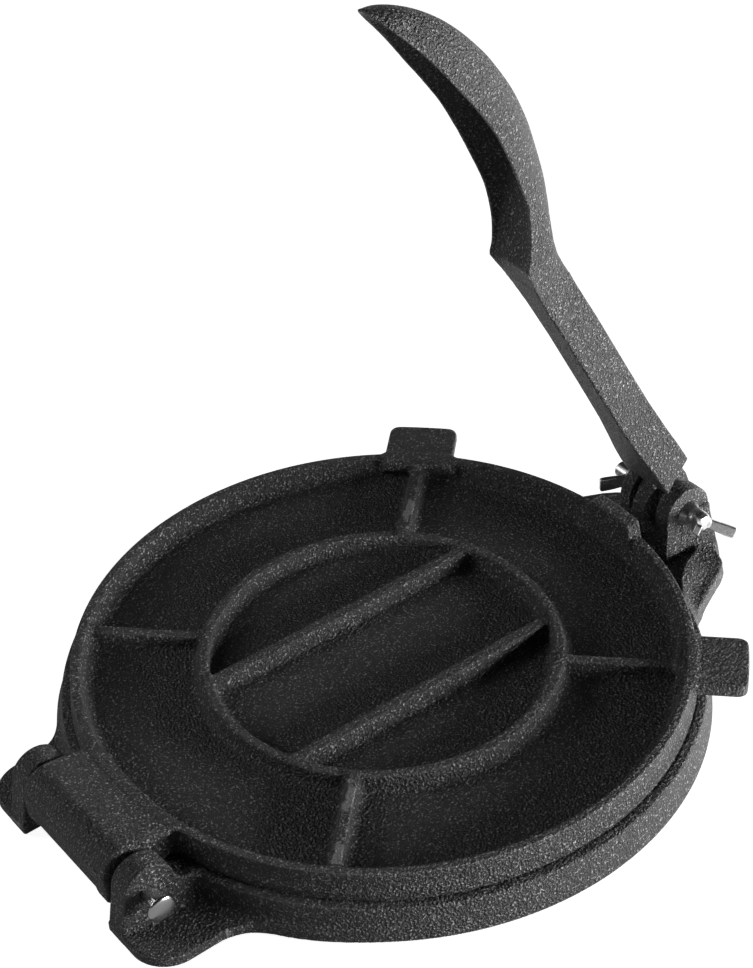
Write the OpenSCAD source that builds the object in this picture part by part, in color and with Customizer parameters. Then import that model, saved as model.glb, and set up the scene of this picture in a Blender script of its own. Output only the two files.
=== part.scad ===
// Hinged cast-iron flatbread press: two round plates, a cam lever and its wing screw.
// Millimetres. Origin: centre of the base disc on its underside, +X from the hinge to the lever.

/* [Base casting] */
// how far the base disc reaches past the top plate at the table
base_lip = 5.8; // [4:0.1:9]
// how much smaller the base disc is at its pressing face
base_draft = 2; // [0.5:0.1:4]
// height of the pressing face over the table
base_h = 12.3; // [11.6:0.1:12.4]
// thickness of the base web under the pressing face
base_web = 5; // [4:0.5:7]
// width of the standing rim under the base
base_rim_w = 6; // [4:0.5:9]
// sideways shift of the hinge and lever line
lug_shift = -3.65; // [-6:0.05:6]

/* [Top plate casting] */
// radius of the top plate
plate_r = 101.7; // [90:0.1:103]
// air between the two closed plates
press_gap = 0.2; // [0.1:0.05:0.6]
// thickness of the plate web
plate_web = 2.9; // [2:0.1:6]
// height of the outer rim over the pressing face
rim_h = 10.15; // [8:0.05:14]
// width of the outer rim at its top
rim_w = 3; // [2:0.1:6]
// outer radius of the inner ring at its top
ring_r = 59.6; // [45:0.1:75]
// width of the inner ring at its top
ring_w = 3.3; // [2:0.1:6]
// height of the inner ring over the pressing face
ring_h = 7.9; // [4:0.1:10]
// width of the stiffening ribs at their top
rib_w = 3.8; // [2:0.1:6]
// how much wider a rib is at its foot
rib_draft = 1.8; // [0.5:0.1:4]
// distance between the two long ribs
rib_pitch = 45.9; // [30:0.1:60]
// sideways shift of the two long ribs
rib_shift = -0.8; // [-3:0.1:3]
// turn of the ribs and tabs against the hinge line
rib_turn = -0.86; // [-2:0.02:2]
// how far the lifting tabs stand out of the plate
tab_reach = 16.3; // [10:0.1:22]
// width of a lifting tab
tab_w = 24.5; // [15:0.5:40]
// thickness of a lifting tab
tab_t = 4; // [2:0.1:7]
// corner radius of a lifting tab
tab_corner = 4; // [2:0.5:8]
// height of the pressure pad over the pressing face
pad_h = 14.5; // [12:0.1:18]
// width of the pressure pad at its top
pad_w = 19; // [12:0.5:30]

/* [Plate hinge] */
// distance of the hinge pin from the rim of the top plate
hinge_out = 13.8; // [12:0.1:18]
// height of the hinge pin over the table
hinge_z = 15.8; // [14:0.1:20]
// diameter of the hinge pin
pin_d = 4.6; // [4:0.1:8]
// diameter of the hinge pin head
pin_head_d = 9.4; // [8:0.1:14]
// free pin length between the ear and the head
pin_stand = 7.5; // [0.5:0.5:10]
// radius of the hinge ears
ear_r = 8.8; // [7:0.1:11]
// how far the ear's round top sits inward of the pin
ear_in = 1.2; // [0:0.1:2]
// how far the ear's round top sits above the pin
ear_rise = 0.5; // [0:0.1:2]
// thickness of each hinge ear
ear_t = 8.2; // [5:0.1:12]
// distance between the hinge ears
ear_gap = 49.6; // [40:0.1:60]
// length of the hinge barrel between the ears
barrel_len = 47; // [36:0.1:58]
// sideways shift of the barrel between the ears
barrel_shift = 0.75; // [-1:0.05:1]
// radius of the hinge barrel
barrel_r = 8.2; // [6:0.1:9.5]
// how far the barrel sits above the pin
barrel_rise = 1.7; // [0:0.1:2]

/* [Lever bracket] */
// distance of the lever pivot from the rim of the top plate
pivot_out = 20.3; // [18:0.1:28]
// height of the lever pivot over the table
pivot_z = 21.3; // [20:0.1:28]
// radius of the bracket ears
cheek_r = 9.6; // [8:0.1:10.5]
// thickness of the front bracket ear
cheek_t = 6.7; // [4:0.1:10]
// thickness of the rear bracket ear
cheek_back_t = 5; // [4:0.1:10]
// distance between the bracket ears
cheek_gap = 12.6; // [9:0.1:18]

/* [Lever] */
// angle of the stored lever over the table
lever_rest = 61.5; // [50:0.5:80]
// width of the lever head between the bracket ears
hub_w = 11.5; // [8:0.1:17]
// radius of the lever head
hub_r = 10.8; // [8:0.1:11.5]
// radius of the rounded nose of the head
nose_r = 7.4; // [5:0.1:8]
// half width of the grip at its widest
grip_half = 13; // [10:0.5:16]
// depth of the finger hollow under the grip
scoop = 11; // [4:0.5:13]

/* [Hardware] */
// diameter of the wing screw
bolt_d = 5.8; // [5:0.1:8]
// diameter of the wing screw head
head_d = 7; // [6:0.5:10]
// diameter of the wing nut hub
nut_d = 9.5; // [8:0.5:13]
// reach of each wing from the screw axis
wing_reach = 13.5; // [10:0.5:18]
// thickness of each wing
wing_t = 2; // [1.2:0.1:3]

/* [Hidden] */
$fn = 96;
iron = [0.12, 0.12, 0.125];
steel = [0.75, 0.76, 0.78];
run_clear = 0.05;
seat = 0.05;
c = lug_shift;
base_r = plate_r + base_lip;
base_top_r = base_r - base_draft;
tab_r = plate_r + tab_reach;
hinge_x = plate_r + hinge_out;
pivot_x = plate_r + pivot_out;
plate_z = base_h + press_gap;
rim_top = plate_z + rim_h;
floor_z = plate_z + plate_web;
ring_top = plate_z + ring_h;
tab_top = rim_top - 0.05;
pad_top = plate_z + pad_h;
foot_t = 3.8;
ear_out = ear_gap / 2 + ear_t;
cheek_out = cheek_gap / 2 + cheek_t;
cheek_back = cheek_gap / 2 + cheek_back_t;
cut = 0.01;

// 2D section of XZ turned to stand along Y, from y0 to y1
module slab(y0, y1) {
  translate([0, y1, 0]) rotate([90, 0, 0]) linear_extrude(y1 - y0) children();
}

// a bore or shaft along Y through a point
module rod(x, z, y0, y1, d) {
  translate([x, y1, z]) rotate([90, 0, 0]) cylinder(h = y1 - y0, d = d);
}

module base_profile() {
  wall = base_r - base_rim_w;
  polygon([[0, base_h - base_web], [0, base_h], [base_top_r - 0.8, base_h], [base_top_r, base_h - 0.8],
    [base_r, 0.6], [base_r - 0.6, 0], [wall, 0], [wall - 1.2, base_h - base_web]]);
}

module base_ring_profile() {
  polygon([[50, 2], [55, 2], [56, base_h - base_web + cut], [49, base_h - base_web + cut]]);
}

module base_disc() {
  rotate_extrude() base_profile();
  rotate_extrude() base_ring_profile();
  for (a = [22.5:45:360]) {
    rotate([0, 0, a]) translate([54, -2, 2]) cube([base_r - base_rim_w - 53, 4, base_h - base_web - 2 + cut]);
  }
}

module hinge_foot_outline() {
  reach = hinge_x + 10.5;
  corner = 22;
  wide = ear_out + 17.5;
  intersection() {
    translate([-reach + corner, wide - corner]) circle(r = corner);
    translate([-reach, ear_gap / 2]) square([60, 60]);
  }
  translate([-reach, ear_gap / 2]) square([reach - base_r + 13.5, wide - corner - ear_gap / 2]);
  translate([-reach + corner, ear_gap / 2]) square([reach - corner - base_r + 19.5, wide - ear_gap / 2]);
}

module ear_profile() {
  mid = -hinge_x + ear_in;
  top = hinge_z + ear_rise;
  translate([mid, top]) circle(r = ear_r);
  polygon([[mid - ear_r - 3.1, 0], [mid - ear_r - 2.2, 5], [mid - ear_r, top], [mid + ear_r, top],
    [mid + ear_r + 1.2, base_h + 2], [11.5 - base_r, base_h], [11.5 - base_r, 0]]);
}

module hinge_side() {
  slab(ear_gap / 2, ear_out) ear_profile();
  linear_extrude(foot_t) hinge_foot_outline();
  difference() {
    translate([-hinge_x - 10, ear_out - cut, foot_t - cut]) cube([22, 3, 3]);
    translate([-hinge_x - 20, ear_out + 3, foot_t + 3]) rotate([0, 90, 0]) cylinder(h = 50, r = 3);
  }
}

module foot_outline() {
  far = pivot_x + 10;
  polygon([[far - 42, 0], [far - 42, 44.5], [far - 30.9, 39.4], [far - 10.5, 29.4], [far - 6.8, 26.8],
    [far - 4.7, 23.9], [far - 1.6, 16],
    [far, 9], [far, 0]]);
}

module cheek_profile() {
  translate([pivot_x, pivot_z]) circle(r = cheek_r);
  polygon([[pivot_x - cheek_r, 0], [pivot_x - cheek_r, pivot_z], [pivot_x + cheek_r, pivot_z],
    [pivot_x + cheek_r + 0.4, 0]]);
}

// plan of the bracing wall beside a bracket ear, between its outside and its pocket
module brace_outline(step) {
  far = pivot_x + cheek_r;
  polygon([[far, cheek_out - 2], [far - 7, cheek_out - 2], [far - 9, 16.4], [far - 17.6, 18.6], [far - 23.6, 22.5],
    [far - 30.6, 29.5], [far - 30.6, 33.5 + step * 4], [far - 22.6, 27 + step * 4],
    [far - 14.6, 23.2 + step * 3.5], [far - 6, 19.5 + step * 2.5],
    [far, 15.5 + step * 1.5]]);
}

module bracket_side(outer) {
  slab(cheek_gap / 2, outer) cheek_profile();
  linear_extrude(foot_t) foot_outline();
  hull() {
    translate([0, 0, foot_t - 0.5]) linear_extrude(0.5) brace_low();
    translate([0, 0, foot_t + 3]) linear_extrude(0.5) brace_high();
  }
  translate([0, 0, foot_t - cut]) linear_extrude(4.2) brace_outline(0);
  hull() {
    translate([pivot_x + cheek_r - 9, cheek_out - 2, foot_t]) cube([9, 5, 0.5]);
    translate([pivot_x + cheek_r - 6, cheek_out - 2, pivot_z - 4]) cube([6, 2, 0.5]);
  }
}

module brace_low() {
  far = pivot_x + cheek_r;
  polygon([[far - 30.6, 33], [far - 30.6, 37], [far - 14.6, 28.6], [far - 5.6, 22.5], [far, 15.5], [far, 14]]);
}

module brace_high() {
  far = pivot_x + cheek_r;
  polygon([[far - 29.6, 32], [far - 29.6, 33.3], [far - 22.6, 28], [far - 13.6, 23.6], [far - 5.6, 19.6],
    [far, 14.6], [far - 4.6, 15.5], [far - 14.6, 20]]);
}

module base_plate() color(iron) difference() {
  union() {
    base_disc();
    translate([0, c, 0]) difference() {
      union() {
        for (s = [0, 1]) mirror([0, s, 0]) {
          hinge_side();
          bracket_side(s == 1 ? cheek_out : cheek_back);
        }
      }
      translate([0, -c, -cut]) cylinder(h = base_h + cut, r = base_r - base_rim_w);
    }
  }
  translate([0, 0, base_h]) cylinder(h = 60, r = plate_r + 0.6);
  rod(-hinge_x, hinge_z, c - 70, c + 70, pin_d + 2 * run_clear);
  rod(pivot_x, pivot_z, c - 40, c + 40, bolt_d + 2 * run_clear);
}

module plate_profile() {
  polygon([[0, plate_z], [plate_r - 0.8, plate_z], [plate_r, plate_z + 0.8], [plate_r - 0.4, rim_top - 0.8],
    [plate_r - 1, rim_top], [plate_r - 0.4 - rim_w, rim_top], [plate_r - 0.8 - rim_w, rim_top - 0.5],
    [plate_r - 2.6 - rim_w, floor_z + 1.6], [plate_r - 3.4 - rim_w, floor_z + 0.5],
    [plate_r - 4.6 - rim_w, floor_z], [ring_r + 2.6, floor_z], [ring_r + 1.6, floor_z + 0.5],
    [ring_r + 1.1, floor_z + 1.2], [ring_r, ring_top - 0.4], [ring_r - 0.4, ring_top],
    [ring_r - ring_w + 0.4, ring_top], [ring_r - ring_w, ring_top - 0.4], [ring_r - ring_w - 1.3, floor_z + 1.2],
    [ring_r - ring_w - 1.8, floor_z + 0.4], [ring_r - ring_w - 2.7, floor_z], [0, floor_z]]);
}

// a drafted rib from x0 to x1 along X
module rib(x0, x1, top) {
  translate([x0, 0, 0]) rotate([90, 0, 90]) linear_extrude(x1 - x0)
    polygon([[-rib_w / 2 - rib_draft / 2, floor_z - 0.5], [rib_w / 2 + rib_draft / 2, floor_z - 0.5],
      [rib_w / 2, top - 0.5], [rib_w / 2 - 0.5, top], [-rib_w / 2 + 0.5, top], [-rib_w / 2, top - 0.5]]);
}

module tab() {
  half = tab_w / 2;
  translate([0, 0, tab_top - tab_t]) linear_extrude(tab_t) intersection() {
    circle(r = tab_r, $fn = 240);
    union() {
      translate([plate_r - 4, -half]) square([tab_r - plate_r - tab_corner + 3, tab_w]);
      translate([plate_r - 4, -half + tab_corner]) square([tab_r - plate_r + 4, tab_w - 2 * tab_corner]);
      for (s = [-1, 1]) translate([tab_r - tab_corner - 1, s * (half - tab_corner)]) circle(r = tab_corner);
    }
  }
}

module pad() {
  w = pad_w / 2;
  intersection() {
    translate([plate_r - 11.7, c, 0]) rotate([90, 0, 90]) linear_extrude(20)
      polygon([[-w - 2.5, floor_z - 1], [w + 2.5, floor_z - 1], [w + 2, rim_top], [w + 0.4, pad_top - 0.8],
        [w - 0.4, pad_top], [-w + 0.4, pad_top], [-w - 0.4, pad_top - 0.8], [-w - 2, rim_top]]);
    cylinder(h = 60, r = plate_r + 0.8);
    translate([0, c - 40, 0]) slab(0, 80)
      polygon([[plate_r - 7.4, 0], [plate_r - 7.3, floor_z], [plate_r - 6.1, pad_top - 0.8], [plate_r - 5.4, pad_top],
        [plate_r + 18, pad_top], [plate_r + 18, 0]]);
  }
}

module tongue_profile() {
  mid = hinge_z + barrel_rise;
  translate([-hinge_x, mid]) circle(r = barrel_r);
  polygon([[-hinge_x, mid + barrel_r], [-hinge_x + 3, mid + barrel_r - 0.3], [-plate_r + 3.4, rim_top - 0.1],
    [-plate_r + 3.4, plate_z], [-hinge_x + 11, plate_z], [-hinge_x + 7.5, mid - 7.4], [-hinge_x, mid - barrel_r]]);
}

// lower front of the tongue, rounded about the pin so that it can swing past the base
module tongue_lip(drop) {
  intersection() {
    translate([-hinge_x, hinge_z]) circle(r = drop);
    translate([-hinge_x - barrel_r, hinge_z - drop]) square([barrel_r, drop + barrel_rise]);
  }
}

module top_plate() color(iron) difference() {
  union() {
    rotate_extrude() plate_profile();
    rotate([0, 0, rib_turn]) {
      intersection() {
        for (s = [-1, 1]) translate([0, rib_shift + s * rib_pitch / 2, 0]) rib(-60, 60, ring_top - 0.5);
        cylinder(h = 60, r = ring_r - 1.5);
      }
      for (a = [45:90:360]) rotate([0, 0, a]) rib(ring_r - 1.5, plate_r - rim_w, ring_top + 0.2);
      for (a = [-45, 45]) rotate([0, 0, a]) tab();
    }
    pad();
    translate([0, c + barrel_shift, 0]) {
      slab(-barrel_len / 2, barrel_len / 2) tongue_profile();
      slab(-barrel_len / 2, barrel_len / 2) tongue_lip(10.3);
      for (s = [-1, 1]) slab(s * (barrel_len / 2 - 2.5) - 2.5, s * (barrel_len / 2 - 2.5) + 2.5) tongue_lip(11.3);
    }
  }
  rod(-hinge_x, hinge_z, c - 60, c + 60, pin_d + 2 * run_clear);
}

// stations of the grip: distance from the pivot, half width, near edge, crown, squareness, hollow
stations = [
  [124, 5.6, -1.5, 10.6, 0.16, 0], [129.5, 7.1, -1.8, 11, 0.2, 0], [134, 8, -2, 11.1, 0.26, 0.5],
  [139.7, 9, -2.2, 12.2, 0.36, 1.2], [143.3, 9.1, 0.7, 13.6, 0.44, 2], [149.1, 9.3, 4.2, 16.2, 0.6, 3.2],
  [154.1, 9.6, 6.4, 18.7, 0.75, 4.4], [163.3, 10.4, 9.2, 22, 0.9, 6.4], [173.3, 11.2, 10.4, 24.5, 1, 8.4],
  [184.1, 11.9, 11.3, 26.2, 1, 9.8], [193.2, 12.3, 11.6, 26.7, 1, 10.4], [205.9, 12.4, 10.6, 25.8, 1, 10],
  [216.7, 12.1, 9.1, 23.7, 1, 8.8], [226.1, 11.4, 7.8, 20.8, 1, 7], [234.1, 10.3, 6.3, 17.1, 1, 5],
  [240.5, 8.6, 4.7, 13, 1, 3], [245.5, 6.5, 3.4, 8.7, 1, 1.4], [249.4, 3, 2.2, 4, 1, 0.4]];
half_n = 8;
bar_u = 1.3;
bar_v = 0.7;

function spow(v, e) = sign(v) * pow(abs(v), e);
function arch(s) = [for (i = [0:half_n]) let (a = 180 * i / half_n)
  [s[1] * grip_half / 13 * spow(cos(a), s[4]), s[2] + (s[3] - s[2]) * spow(sin(a), s[4])]];
function hollow(s) = [for (i = [half_n - 1:-1:1]) let (a = 180 * i / half_n)
  [(s[1] - 0.5) * grip_half / 13 * cos(a), s[2] + s[5] * scoop / 11 * sin(a)]];
function section(s) = [for (p = concat(arch(s), hollow(s))) [s[0], p[0], p[1]]];
function back(i) = (2 * half_n - i) % (2 * half_n);

module lever_grip() {
  per = 2 * half_n;
  n = len(stations);
  pts = [for (s = stations) each section(s)];
  sides = [for (k = [0:n - 2]) for (j = [0:per - 1]) let (q = (j + 1) % per)
    each [[k * per + j, (k + 1) * per + q, k * per + q], [k * per + j, (k + 1) * per + j, (k + 1) * per + q]]];
  fan = concat([[0, 1, back(1)]], [[half_n - 1, half_n, back(half_n - 1)]],
    [for (i = [1:half_n - 2]) each [[i, i + 1, back(i + 1)], [i, back(i + 1), back(i)]]]);
  ends = [for (f = fan) each [f, [for (i = [2:-1:0]) (n - 1) * per + f[i]]]];
  polyhedron(points = pts, faces = concat(sides, ends), convexity = 8);
}

// straight arm with its shoulders cut to a blunt V over the bracket ears
module lever_arm() {
  intersection() {
    translate([0, 20, 0]) rotate([90, 0, 0]) linear_extrude(40)
      polygon([[12.2, -2.5], [35, -2.7], [98, -1.7], [128, -1.8], [128, 11.1], [98, 11.5], [49, 11], [17.6, 10.5],
        [14.9, 2.4]]);
    translate([0, 0, -10]) linear_extrude(40)
      polygon([[10, 10.8], [17.6, 10.7], [26, 9.8], [35, 7.9], [49, 6.1], [71, 5.6], [98, 5.5], [117, 5.6],
        [129, 6.9], [129, -6.9], [117, -5.6], [98, -5.5], [71, -5.6], [49, -6.1], [35, -7.9], [26, -9.8],
        [17.6, -10.7], [10, -10.8]]);
  }
}

// outline of the head in the lever's own plane: u along the lever, v towards its back
module head_profile() {
  circle(r = hub_r);
  translate([5.2, -6.4]) circle(r = nose_r);
  polygon([[0, hub_r], [20, 11.1], [24, -1.5], [14, -2], [12, -6], [0, 0]]);
}

// stands the lever's plane at its stored angle about the pivot
module at_pivot() {
  translate([pivot_x, c, pivot_z]) rotate([0, lever_rest - 180, 0]) mirror([0, 0, 1]) children();
}

module lever() color(iron) difference() {
  at_pivot() {
    translate([bar_u, 0, bar_v]) lever_arm();
    translate([bar_u, 0, bar_v]) lever_grip();
    translate([0, hub_w / 2, 0]) rotate([90, 0, 0]) linear_extrude(hub_w) head_profile();
  }
  rod(pivot_x, pivot_z, c - 20, c + 20, bolt_d + 2 * run_clear);
}

module hinge_pin() color(steel) {
  head_y = c - ear_out - pin_stand;
  rod(-hinge_x, hinge_z, head_y, c + ear_out + 4, pin_d);
  rod(-hinge_x, hinge_z, head_y - 1, head_y, pin_head_d);
  rod(-hinge_x, hinge_z, head_y - 1.6, head_y - 1, pin_head_d - 2);
}

module pin_clip() color(steel) difference() {
  rod(-hinge_x, hinge_z, c + ear_out + seat, c + ear_out + seat + 1.5, pin_d + 6);
  rod(-hinge_x, hinge_z, c, c + 60, pin_d + 2 * run_clear);
}

// two wings that lean away from the clamped face; dir is the outward direction along Y
module wings(y, dir, turn, lean) {
  translate([pivot_x, y, pivot_z]) rotate([0, turn, 0]) for (a = [0, 180]) rotate([0, a, 0])
    rotate([0, 0, dir * lean]) translate([1, 0, 0]) rotate([90, 0, 0]) translate([0, 0, -wing_t / 2])
    linear_extrude(wing_t) {
      translate([0, -2.8]) square([wing_reach - 3.8, 5.6]);
      translate([wing_reach - 3.8, 0]) circle(r = 2.8);
    }
}

module wing_screw() color(steel) {
  face = c - cheek_out - seat;
  rod(pivot_x, pivot_z, face - 7, c + cheek_out + 6.2, bolt_d);
  translate([pivot_x, face, pivot_z]) rotate([90, 0, 0]) cylinder(h = 2.5, d1 = head_d + 2.5, d2 = head_d);
  rod(pivot_x, pivot_z, face - 7, face - 2.5, head_d);
  wings(face - 3.6, -1, 30, 38);
}

module wing_nut() color(steel) {
  face = c + cheek_back + seat;
  difference() {
    union() {
      translate([pivot_x, face, pivot_z]) rotate([-90, 0, 0]) cylinder(h = 4.6, d1 = nut_d, d2 = nut_d - 2);
      wings(face + 2.2, 1, 0, 25);
    }
    rod(pivot_x, pivot_z, face - 5, face + 12, bolt_d + 2 * run_clear);
  }
}

base_plate();
top_plate();
lever();
hinge_pin();
pin_clip();
wing_screw();
wing_nut();
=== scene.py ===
# %% [markdown]
# # A cast iron flatbread press, dressed
# The press is two round iron plates on a hinge, a cam lever that forces them together, and a few
# bits of bright hardware. The iron is sand cast: every corner is soft, every root has a fillet and
# the skin is as grainy as the sand was. Boxes and cylinders with bevels would miss exactly that,
# so each casting is described here as one solid formula and skinned with a mesh.
# The jointed frame comes from the CAD side and is only loaded, never changed.

# %% Load the jointed frame
import bpy
import math
import numpy as np
from mathutils import Matrix, Vector


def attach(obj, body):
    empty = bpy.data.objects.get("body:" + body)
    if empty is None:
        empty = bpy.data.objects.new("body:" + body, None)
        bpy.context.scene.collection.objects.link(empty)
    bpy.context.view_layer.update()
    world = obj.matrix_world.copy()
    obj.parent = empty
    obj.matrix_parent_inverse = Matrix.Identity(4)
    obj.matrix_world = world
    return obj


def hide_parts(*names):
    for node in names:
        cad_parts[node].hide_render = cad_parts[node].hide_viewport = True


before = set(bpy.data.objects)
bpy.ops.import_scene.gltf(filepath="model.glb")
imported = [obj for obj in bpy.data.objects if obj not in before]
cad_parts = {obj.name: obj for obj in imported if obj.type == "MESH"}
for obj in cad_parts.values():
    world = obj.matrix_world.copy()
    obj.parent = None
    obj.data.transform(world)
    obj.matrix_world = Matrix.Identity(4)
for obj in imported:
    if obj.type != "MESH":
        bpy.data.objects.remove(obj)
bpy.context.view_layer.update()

# %% [markdown]
# ## The sizes of the press
# All the formulas below work in millimetres in the frame's own axes: the origin is the centre of
# the base disc on the table, +X points from the hinge to the lever. The values are those that the
# CAD source drives its solids with, so that every dressed casting fits its neighbours and its joint.

# %% Sizes that several castings share
AXIS_Y = -3.65          # hinge and lever line lie this far off the disc centre
BASE_R, BASE_H, BASE_WEB, BASE_DRAFT = 107.5, 12.3, 5.0, 2.0
FOOT_T = 3.8
PLATE_R, PLATE_Z, FLOOR_Z, RIM_TOP, RING_TOP, PAD_TOP = 101.7, 12.5, 15.4, 22.65, 20.4, 27.0
RING_R = 57.95          # middle of the inner ring's wall
HINGE_X, HINGE_Z, EAR_IN, EAR_OUT = -115.5, 15.8, 24.8, 33.0
PIVOT_X, PIVOT_Z, CHEEK_IN, CHEEK_OUT, CHEEK_BACK = 122.0, 21.3, 6.3, 13.0, 11.3
LUG_R = 9.6             # round top of the bracket ears
PIN_BORE, BOLT_BORE = 2.35, 2.95
WALL_IN = 98.5          # feet reach this far into the round wall of the base
LEVER_REST = math.radians(61.5)
print("plates", 2 * BASE_R, "and", 2 * PLATE_R, "mm across")

# %% [markdown]
# ## A small workshop for cast shapes
# A solid can be written as a function that is negative inside the iron and positive outside, close
# to the distance from the skin. Two such solids join by taking the smaller value. The trick of this
# file is the rounded join: near the seam the two distances are blended with a quarter circle, which
# is exactly the fillet that a pattern maker runs along every inside corner with wax.

# %% Joins and cuts with a radius
def melt(a, b, r):
    """The two solids together, with a fillet of radius r along their seam."""
    return np.maximum(r, np.minimum(a, b)) - np.hypot(np.maximum(r - a, 0), np.maximum(r - b, 0))


def within(a, b, r):
    """Only what is in both solids, its edge rounded to radius r."""
    return -melt(-a, -b, r)


def without(a, b, r):
    """The first solid with the second cut out of it, the edge rounded to radius r."""
    return -melt(-a, b, r)


def ramp(v, a, b):
    """0 below a, 1 above b, smooth between."""
    t = np.clip((v - a) / (b - a), 0, 1)
    return t * t * (3 - 2 * t)


# %% Outlines, slabs and bores
def soften(corners, radii, steps=6):
    """A flat outline with its corners turned into arcs."""
    out = []
    n = len(corners)
    for i in range(n):
        p, q, s = (np.array(corners[(i + k) % n], float) for k in (-1, 0, 1))
        r = radii[i] if isinstance(radii, (list, tuple)) else radii
        a, b = p - q, s - q
        la, lb = np.hypot(*a), np.hypot(*b)
        a, b = a / la, b / lb
        half = math.acos(max(-1, min(1, float(a @ b)))) / 2
        if r < 1e-6 or half > 1.55:
            out.append((float(q[0]), float(q[1])))
            continue
        reach = min(r / math.tan(half), la * 0.49, lb * 0.49)
        r = reach * math.tan(half)
        mid = (a + b) / np.hypot(*(a + b))
        centre = q + mid * r / math.sin(half)
        u, v = q + a * reach - centre, q + b * reach - centre
        for k in range(steps + 1):
            w = u * (1 - k / steps) + v * (k / steps)
            w = w / np.hypot(*w) * r
            out.append((float(centre[0] + w[0]), float(centre[1] + w[1])))
    return out


def outline(x, y, corners):
    """Signed distance to a flat closed outline."""
    near, inside = 1e9, False
    for (ax, ay), (bx, by) in zip(corners, corners[1:] + corners[:1]):
        ex, ey = bx - ax, by - ay
        wx, wy = x - ax, y - ay
        t = np.clip((wx * ex + wy * ey) / (ex * ex + ey * ey + 1e-12), 0, 1)
        near = np.minimum(near, (wx - ex * t) ** 2 + (wy - ey * t) ** 2)
        crossing = ((ay <= y) != (by <= y)) & (wx < wy / ((by - ay) or 1e-9) * ex)
        inside = inside ^ crossing
    return np.where(inside, -1.0, 1.0) * np.sqrt(near)


def slab(flat, w, low, high, r):
    """A flat shape given thickness from low to high along w, with rounded rims."""
    a = flat + r
    b = np.abs(w - (low + high) / 2) - (high - low) / 2 + r
    return np.minimum(np.maximum(a, b), 0) + np.hypot(np.maximum(a, 0), np.maximum(b, 0)) - r


def bore(x, z, x0, z0, r):
    """A round bar or hole along Y."""
    return np.hypot(x - x0, z - z0) - r


print("fillet check, two walls 3 mm off with radius 10:", round(float(melt(3.0, 3.0, 10.0)), 2), "mm")


# %% [markdown]
# ## From formula to mesh
# The formula is sampled on a grid. In each cell that the skin passes through, one point is placed at
# the mean of the crossings, and the points of neighbouring cells are joined into quads (the method
# is known as surface nets). Then every point slides along the slope of the formula until it lies
# on the skin, and the same slope gives its normal. So the shading is exact even where the mesh is
# coarse. Flat floors need few faces, which is why a Decimate pass comes before the last slide.

# %% Skin a formula
def slope(shape, p, e=0.03):
    """Value and direction of steepest rise of the formula at points p."""
    g, mean = np.zeros_like(p), 0.0
    for k in ((1, 1, 1), (1, -1, -1), (-1, 1, -1), (-1, -1, 1)):
        k = np.array(k, float)
        v = shape(p[:, 0] + e * k[0], p[:, 1] + e * k[1], p[:, 2] + e * k[2])
        g += v[:, None] * k
        mean = mean + v / 4
    return mean, g / (4 * e)


def settle(shape, p, rounds):
    """Slide the points p onto the skin."""
    for _ in range(rounds):
        v, g = slope(shape, p)
        p = p - g * (np.clip(v, -0.6, 0.6) / np.maximum((g * g).sum(1), 0.2))[:, None]
    return p


def net(shape, low, high, step):
    """Points and quads of the skin of shape inside the box low..high."""
    low = np.array(low, float)
    size = [int(math.ceil((b - a) / step)) + 1 for a, b in zip(low, high)]
    x, y, z = [(low[i] + step * np.arange(size[i])).astype(np.float32) for i in range(3)]
    field = np.broadcast_to(shape(x[:, None, None], y[None, :, None], z[None, None, :]), size)
    solid = field < 0
    quads, marks = [], []
    for axis in range(3):
        lo, hi = [slice(None)] * 3, [slice(None)] * 3
        lo[axis], hi[axis] = slice(0, -1), slice(1, None)
        a, b = solid[tuple(lo)], solid[tuple(hi)]
        at = np.array(np.nonzero(a != b))
        fa, fb = field[tuple(lo)][tuple(at)], field[tuple(hi)][tuple(at)]
        mark = at.T.astype(float)
        mark[:, axis] += fa / (fa - fb)
        o1, o2 = (axis + 1) % 3, (axis + 2) % 3
        ring = []
        for d1, d2 in ((0, 0), (1, 0), (1, 1), (0, 1)):
            c = at.copy()
            c[o1] -= d1
            c[o2] -= d2
            ring.append((c[0] * size[1] + c[1]) * size[2] + c[2])
        ring = np.stack(ring, 1)
        turn = ~a[tuple(at)]
        ring[turn] = ring[turn][:, ::-1]
        quads.append(ring)
        marks.append(mark)
    quads, marks = np.concatenate(quads), np.concatenate(marks)
    cells, index = np.unique(quads, return_inverse=True)
    index = index.reshape(quads.shape)
    count = np.bincount(index.ravel(), minlength=len(cells))
    points = np.stack([np.bincount(index.ravel(), np.repeat(marks[:, k], 4), len(cells)) / count
                       for k in range(3)], 1)
    return low + points * step, index


# %% Mesh helpers
def plain_mesh(name, points, faces):
    """A mesh from points in millimetres and faces of one size."""
    mesh = bpy.data.meshes.new(name)
    mesh.vertices.add(len(points))
    mesh.vertices.foreach_set("co", (points / 1000).ravel())
    mesh.loops.add(faces.size)
    mesh.loops.foreach_set("vertex_index", faces.ravel().astype(np.int32))
    mesh.polygons.add(len(faces))
    mesh.polygons.foreach_set("loop_start", np.arange(len(faces), dtype=np.int32) * faces.shape[1])
    mesh.update(calc_edges=True)
    mesh.validate()
    return mesh


def place(name, mesh):
    """Put a mesh into the scene as an object at the origin."""
    piece = bpy.data.objects.new(name, mesh)
    bpy.context.scene.collection.objects.link(piece)
    return piece


def read_points(mesh):
    """The vertices of a mesh, in millimetres."""
    p = np.empty(len(mesh.vertices) * 3)
    mesh.vertices.foreach_get("co", p)
    return p.reshape(-1, 3) * 1000


def frozen(piece):
    """Replace a piece's mesh by what its modifiers make of it."""
    done = bpy.data.meshes.new_from_object(piece.evaluated_get(bpy.context.evaluated_depsgraph_get()))
    piece.modifiers.clear()
    piece.data = done
    done.name = piece.name
    return done


# %% Cast a piece
MOST_TRIANGLES = 190000


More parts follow.
